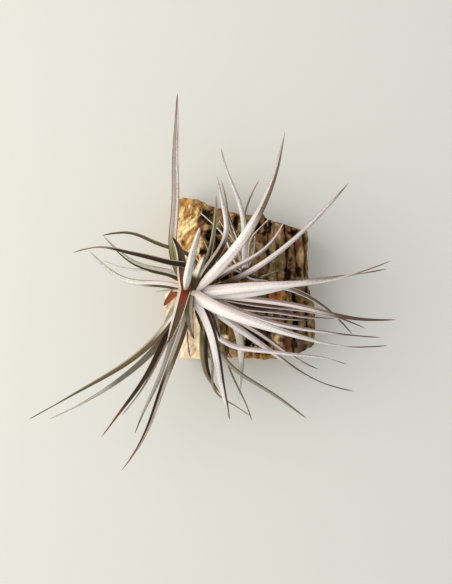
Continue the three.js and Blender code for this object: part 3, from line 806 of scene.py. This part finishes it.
upperLeaves = [
    leaf(0.95, (-11, 52.5, 60), 6, (-2.5, -0.5, 0.5), 2.4, 0.8, 185, "white", "silver", ends="grey"),
    leaf(0.85, (4.5, 40.5, 50), 4, (4, 0, 0), 1.25, 0.6, 10, "tan", "oliveGrey", ends="tan"),
    leaf(0.75, (-9, 31.5, 44), 3, (-0.5, -0.5, 0), 1.4, 0.7, 170, "cream", "olive", ends="cream"),
    leaf(0.6, (-13, 29, 38), 3, (-1, -0.5, 0.5), 1.4, 0.7, 0, "cream", "brown", ends="taupe"),
    leaf(0.5, (-10.5, 20, 36), 3, (-1, 0, 0), 1.4, 0.7, 0, "sage", "brown", ends="taupe"),
    leaf(0.7, (-1, 18.5, 47), 2, (0, 0, 0), 1.25, 0.7, 180, "silver", "olive"),
    leaf(0.6, (-0.5, 20, 43), 2, (-0.5, 0.5, 0), 1.25, 0.7, 0, "lilac", "sage"),
    leaf(0.8, (8.5, 25, 48), 3, (2.5, -0.5, -0.5), 1.25, 0.7, 180, "pink", "taupe", ends="pink"),
    leaf(0.5, (3, 19, 37), 2, (-1.5, 0, 0), 1.2, 0.7, 0, "pink", "taupe", ends="pink"),
    leaf(0.5, (14.5, 4.5, 34), 3, (-2, -0.5, 0), 1.4, 0.7, 0, "sage", "olive"),
    leaf(0.5, (10.5, -1, 36), 3, (-0.5, -0.5, 0), 1.75, 0.7, 180, "lilac", "dark"),
    leaf(0.6, (-20, 28.5, 35), 3, (-1.5, 1, 0.5), 1.4, 0.7, 180, "pink", "taupe", ends="pink"),
    leaf(0.55, (-20, 20.5, 34), 3, (4, 0, -0.5), 1.4, 0.7, 0, "lilac", "plum"),
    leaf(0.7, (-11, 41, 46), 3, (1, 0, -0.5), 1.3, 0.6, 170, "tan", "taupe", ends="tan"),
]

lowerLeaves = [
    leaf(0.95, (41, -35, 42), 9, (-4, -2.5, -0.5, -0.5), 2.2, 0.9, 180, "white", "lilac", ends="rust",
         endsFrom=0.88),
    leaf(0.8, (2, -59.5, 32), 4, (1, 0.5, 0.5), 1, 0.6, 0, "taupe", "oliveGrey", ends="taupe"),
    leaf(0.7, (25.5, -59, 26), 7, (-5.5, -2, 0), 1.9, 0.5, 20, "grey", "oliveGrey", ends="taupe"),
    leaf(0.9, (-11.5, -47.5, 36), 5, (-3.5, 0.5, 0), 4.2, 0.75, 170, ("olive", "taupe"), "dark",
         rim=(0.16, 0.14), rimTone="sage", fold=0.7, ends="taupe"),
    leaf(0.75, (1.5, -58, 28), 7, (-7.5, 1.5, 0, -1), 1.3, 0.8, 0, "grey", "taupe", ends="tan"),
    leaf(0.5, (-6.5, -33, 32), 3, (0, 0, 0), 1.2, 0.8, 0, "brown", "brown"),
]


def stemPoint(stem, share):
    foot, bend, top = Vector(stem["foot"]), Vector(stem["bend"]), Vector(stem["top"])
    return foot * (1 - share) ** 2 + bend * 2 * share * (1 - share) + top * share ** 2


def leafLine(spec, start, along):
    span = Vector(spec["tip"]) - start
    left = Vector((-span.y, span.x, 0)).normalized()
    swing = spec["bend"][0] * 4 * along * (1 - along)
    for wave, size in enumerate(spec["bend"][1:], start=2):
        swing += size * math.sin(wave * math.pi * along)
    swing += spec["hook"] * (1 - math.exp(-along / blade["hookReach"])) * (1 - along)
    point = start + span * along + left * swing
    point.z += spec["arch"] * blade["archScale"] * along * (1 - along) ** 2
    return point


def direction(line, place):
    reach = blade["directionReach"]
    return (line(place + reach) - line(place - reach)).normalized()


def leafWidth(spec, along):
    narrowing = (1 - along) ** spec["taper"] * (1 + spec["taper"] * along)
    base = 1 + spec["flare"] * math.exp(-((along / blade["flareReach"]) ** 2))
    closing = min(1.0, (1 - along) / blade["pointReach"])
    point = blade["point"] * math.sqrt(max(blade["pointLeast"], closing))
    return max(point, spec["wide"] * narrowing * base)


def leafSection(width, along):
    # the closed outline of the blade: first its channelled face, then its rounded back
    half = width / 2
    depth = width * mix(blade["baseDepth"], blade["tipDepth"], along)
    sharp = mix(blade["baseKeel"], blade["tipKeel"], smooth(0, 0.5, along))
    thick = max(0.0, width * blade["thick"] - blade["thinning"])
    rim = min(blade["rim"], blade["rimShare"] * width)
    hump = blade["hump"]
    steps = blade["sideSteps"]
    outline = []
    for face in (1, 0):
        for step in range(steps):
            across = -1 + 2 * step / (steps - 1)
            if not face:
                across = -across
            height = depth * abs(across) ** sharp
            bulge = thick * (1 - abs(across) ** blade["roundness"])
            height += (hump * bulge + rim / 2) if face else -((1 - hump) * bulge + rim / 2)
            outline.append((across * half, height, across))
    return outline


def flankTone(spec, flank, along):
    # the colour of one flank at a place along the leaf: the leaf's own colour with painted light or shade
    # for the side it lies on
    tones = spec[flank]
    if isinstance(tones, str):
        tones = (tones, tones)
    before, after = blade["changeReach"]
    change = smooth(spec["change"] - before, spec["change"] + after, along)
    color = blendColor(leafPaint[tones[0]], leafPaint[tones[1]], change)
    color = blendColor(color, leafPaint["red"], spec["red"] * smooth(*blade["flush"], along))
    ending = smooth(spec["endsFrom"], spec["endsFrom"] + blade["endReach"], along)
    return blendColor(color, leafPaint[spec["ends"]], ending)


def addShoot(name, node, stem, leaves, material):
    points = []
    faces = []
    measures = ("along", "across", "flank", "reach", "number", "fold", "nearRim", "farRim")
    values = {key: [] for key in measures}
    tones = {key: [] for key in ("nearTone", "farTone", "rimTone")}
    rnd = random.Random(name)

    def note(numbers, colors):
        for key, value in zip(values, numbers):
            values[key].append(value)
        for key, color in zip(tones, colors):
            tones[key].append(color)

    # the stem, wrapped in old leaf bases
    rings = stemWrap["steps"]
    sides = stemWrap["sides"]
    for ring in range(rings + 1):
        share = ring / rings
        centre = stemPoint(stem, share)
        tangent = direction(lambda place: stemPoint(stem, place), share)
        side = Vector((0, 1, 0)).cross(tangent).normalized()
        up = tangent.cross(side)
        for corner in range(sides):
            angle = corner / sides * 2 * math.pi
            wobble = stemWrap["wobble"] * math.sin(angle * stemWrap["wobbles"])
            wrap = (share * stemWrap["turns"] + angle / (2 * math.pi) + wobble) % 1
            radius = stem["radius"] * (1 - stemWrap["taper"] * share ** stemWrap["taperPower"])
            radius *= stemWrap["proud"] - stemWrap["step"] * wrap
            points.append(centre + (side * math.cos(angle) + up * math.sin(angle)) * radius)
            note((0.5, 0.5 * math.cos(angle), math.cos(angle), share * stemWrap["reach"], 0.5, 0, 0, 0),
                 (leafPaint["brown"], leafPaint["umber"], leafPaint["taupe"]))
    for ring in range(rings):
        for corner in range(sides):
            after = (corner + 1) % sides
            low = ring * sides
            faces.append((low + corner, low + after, low + sides + after, low + sides + corner))
    faces.append(tuple(range(sides - 1, -1, -1)))
    faces.append(tuple(rings * sides + corner for corner in range(sides)))

    for spec in leaves:
        start = stemPoint(stem, spec["root"])
        turn = math.radians(spec["turn"])
        number = rnd.random()
        first = len(points)
        ringSize = blade["sideSteps"] * 2
        length = (Vector(spec["tip"]) - start).length
        for step in range(blade["steps"] + 1):
            along = (step / blade["steps"]) ** blade["crowding"]
            if step > blade["steps"] - blade["tipSteps"]:
                along = 1 - (1 - along) * blade["tipCrowding"]
            centre = leafLine(spec, start, along)
            tangent = direction(lambda place: leafLine(spec, start, place), along)
            level = Vector((0, 0, 1)).cross(tangent).normalized()
            upright = tangent.cross(level)
            side = level * math.cos(turn) + upright * math.sin(turn)
            opening = tangent.cross(side)
            facing = max(-1.0, min(1.0, blade["flankContrast"] * side.dot(litSide)))
            ending = smooth(*blade["rimEnd"], along)
            flanks = [flankTone(spec, flank, along) for flank in ("near", "far")]
            colors = (*flanks, leafPaint[spec["rimTone"]])
            for sideways, height, across in leafSection(leafWidth(spec, along), along):
                points.append(centre + side * sideways + opening * height)
                note((along, across, across * facing - spec["split"], along * length, number, spec["fold"],
                      spec["rim"][0] * ending, spec["rim"][1] * ending), colors)
        for step in range(blade["steps"]):
            for corner in range(ringSize):
                after = (corner + 1) % ringSize
                low = first + step * ringSize
                faces.append((low + corner, low + ringSize + corner, low + ringSize + after, low + after))
        last = first + blade["steps"] * ringSize
        faces.append(tuple(first + corner for corner in range(ringSize)))
        faces.append(tuple(last + corner for corner in range(ringSize - 1, -1, -1)))

    metres = [tuple(point * mm) for point in points]
    piece = addMesh(name, metres, faces, material, node)
    piece.data.set_sharp_from_angle(angle=math.radians(blade["crispAngle"]))
    for key, numbers in values.items():
        addValues(piece, key, numbers)
    for key, colors in tones.items():
        addColors(piece, key, colors)


leafSkin = dict(
    outerFrom=(0.15, 0.75),   # where along a leaf its outer look begins, and where it is complete
    flankEdge=0.08,           # half the width of the change from one flank to the other
    creaseWidth=(0.22, 0.04),
    farShare=0.2,             # how much stronger streaks and dots are on the far flank, which darkens it further as painted shade
    outerShare=0.4,           # and further out
    streakLeast=0.03,         # what they have everywhere
    dotLeast=0.02,
    streakEdge=(0.47, 0.62),
    lineEdge=(0.8, 0.96),     # the fine dark lines along both edges
    farShadeLine=(0.3, 0.8),       # how strong the shaded one is at the base and further out
    nearLine=0.5,
    rimEdge=(0.97, 1.03),
    rimInside=0.05,
    dotEdge=(0.4, 0.6),
    dotShades=(-0.55, 0.15),  # between the silver scales and on them
)


def leafMaterial(name):
    material, nodes, links, shader = newMaterial(name)

    def attribute(key, output="Fac"):
        reader = nodes.new("ShaderNodeAttribute")
        reader.attribute_name = key
        return reader.outputs[output]

    def plug(socket, value):
        if isinstance(value, tuple):
            socket.default_value = (*value, 1)
        elif isinstance(value, (int, float)):
            socket.default_value = value
        else:
            links.new(value, socket)

    def step(source, low, high, outLow=0.0, outHigh=1.0):
        ranger = nodes.new("ShaderNodeMapRange")
        ranger.interpolation_type = "SMOOTHSTEP"
        plug(ranger.inputs["Value"], source)
        plug(ranger.inputs["From Min"], low)
        plug(ranger.inputs["From Max"], high)
        plug(ranger.inputs["To Min"], outLow)
        plug(ranger.inputs["To Max"], outHigh)
        return ranger.outputs["Result"]

    def sums(kind, a, b=0.0):
        node = nodes.new("ShaderNodeMath")
        node.operation = kind
        plug(node.inputs[0], a)
        plug(node.inputs[1], b)
        return node.outputs[0]

    def blend(share, a, b, kind="MIX"):
        node = nodes.new("ShaderNodeMix")
        node.data_type = "RGBA"
        node.blend_type = kind
        plug(node.inputs["Factor"], share)
        plug(node.inputs["A"], a)
        plug(node.inputs["B"], b)
        return node.outputs["Result"]

    across = attribute("across")
    flank = attribute("flank")
    edge = sums("ABSOLUTE", across)
    outer = step(attribute("along"), *leafSkin["outerFrom"])

    # fine streaks that run the length of the leaf
    strands = nodes.new("ShaderNodeCombineXYZ")
    plug(strands.inputs["X"], sums("MULTIPLY", across, blade["streaksAcross"]))
    plug(strands.inputs["Y"], sums("MULTIPLY", attribute("reach"), blade["streaksAlong"]))
    plug(strands.inputs["Z"], sums("MULTIPLY", attribute("number"), blade["streakShift"]))
    streak = nodes.new("ShaderNodeTexNoise")
    streak.inputs["Scale"].default_value = blade["streakScale"]
    streak.inputs["Detail"].default_value = blade["streakDetail"]
    links.new(strands.outputs["Vector"], streak.inputs["Vector"])
    # silver scales, small pale dots with the darker leaf between them
    coordinates = nodes.new("ShaderNodeTexCoord")
    scales = nodes.new("ShaderNodeTexNoise")
    scales.inputs["Scale"].default_value = blade["scalesPerMetre"]
    scales.inputs["Detail"].default_value = blade["scaleDetail"]
    links.new(coordinates.outputs["Object"], scales.inputs["Vector"])

    # the flank on the side the light comes from takes the near tone and the other the far one, the leaf's
    # own colours with painted light and shade
    farSide = step(flank, leafSkin["flankEdge"], -leafSkin["flankEdge"])
    sides = blend(farSide, attribute("nearTone", "Color"), attribute("farTone", "Color"))
    # painted shade down the middle of the channel, as dark as the leaf's fold asks
    creaseShade = sums("MULTIPLY", step(edge, *leafSkin["creaseWidth"]), attribute("fold"))
    creaseShaded = blend(creaseShade, sides, leafPaint["brown"])
    farther = sums("ADD", sums("MULTIPLY", farSide, leafSkin["farShare"]),
                   sums("MULTIPLY", outer, leafSkin["outerShare"]))
    streakShare = sums("MULTIPLY", step(streak.outputs["Fac"], *leafSkin["streakEdge"]),
                       sums("ADD", farther, leafSkin["streakLeast"]))
    streaked = blend(streakShare, creaseShaded, leafPaint["plum"])
    # both edges end in a fine dark line, the shaded one in a stronger one that is painted shade
    farShadeLine = sums("MULTIPLY", farSide, step(outer, 0.0, 0.5, *leafSkin["farShadeLine"]))
    anyLine = sums("MAXIMUM", farShadeLine, sums("MULTIPLY", outer, leafSkin["nearLine"]))
    lineShare = sums("MULTIPLY", step(edge, *leafSkin["lineEdge"]), anyLine)
    lined = blend(lineShare, streaked, leafPaint["plum"])

    def rimOn(key, inside):
        # the pale or dark edge of one flank, inside is a little way into that flank; the near-white edges
        # on margins that the light catches are painted highlight
        edgeward = step(sums("ADD", edge, attribute(key)), *leafSkin["rimEdge"])
        return sums("MULTIPLY", edgeward, step(flank, 0.0, inside))

    inside = leafSkin["rimInside"]
    bothRims = sums("MAXIMUM", rimOn("nearRim", inside), rimOn("farRim", -inside))
    rimmed = blend(bothRims, lined, attribute("rimTone", "Color"))
    dotDepth = step(scales.outputs["Fac"], *leafSkin["dotEdge"], *leafSkin["dotShades"])
    dots = sums("MULTIPLY", dotDepth, sums("ADD", farther, leafSkin["dotLeast"]))
    scaled = blend(1.0, rimmed, sums("ADD", dots, 1.0), "MULTIPLY")
    links.new(scaled, shader.inputs["Base Color"])
    addFeel(nodes, links, shader, scales.outputs["Fac"], blade)
    return material


print("main shoot")
silverSkin = leafMaterial("silverScaledLeaf")
addShoot("mainShoot", "main_shoot", stems["main"], mainLeaves, silverSkin)

print("offsets")
greenSkin = leafMaterial("greenSilverLeaf")
addShoot("upperOffset", "upper_offset", stems["upper"], upperLeaves, greenSkin)
addShoot("lowerOffset", "lower_offset", stems["lower"], lowerLeaves, greenSkin)
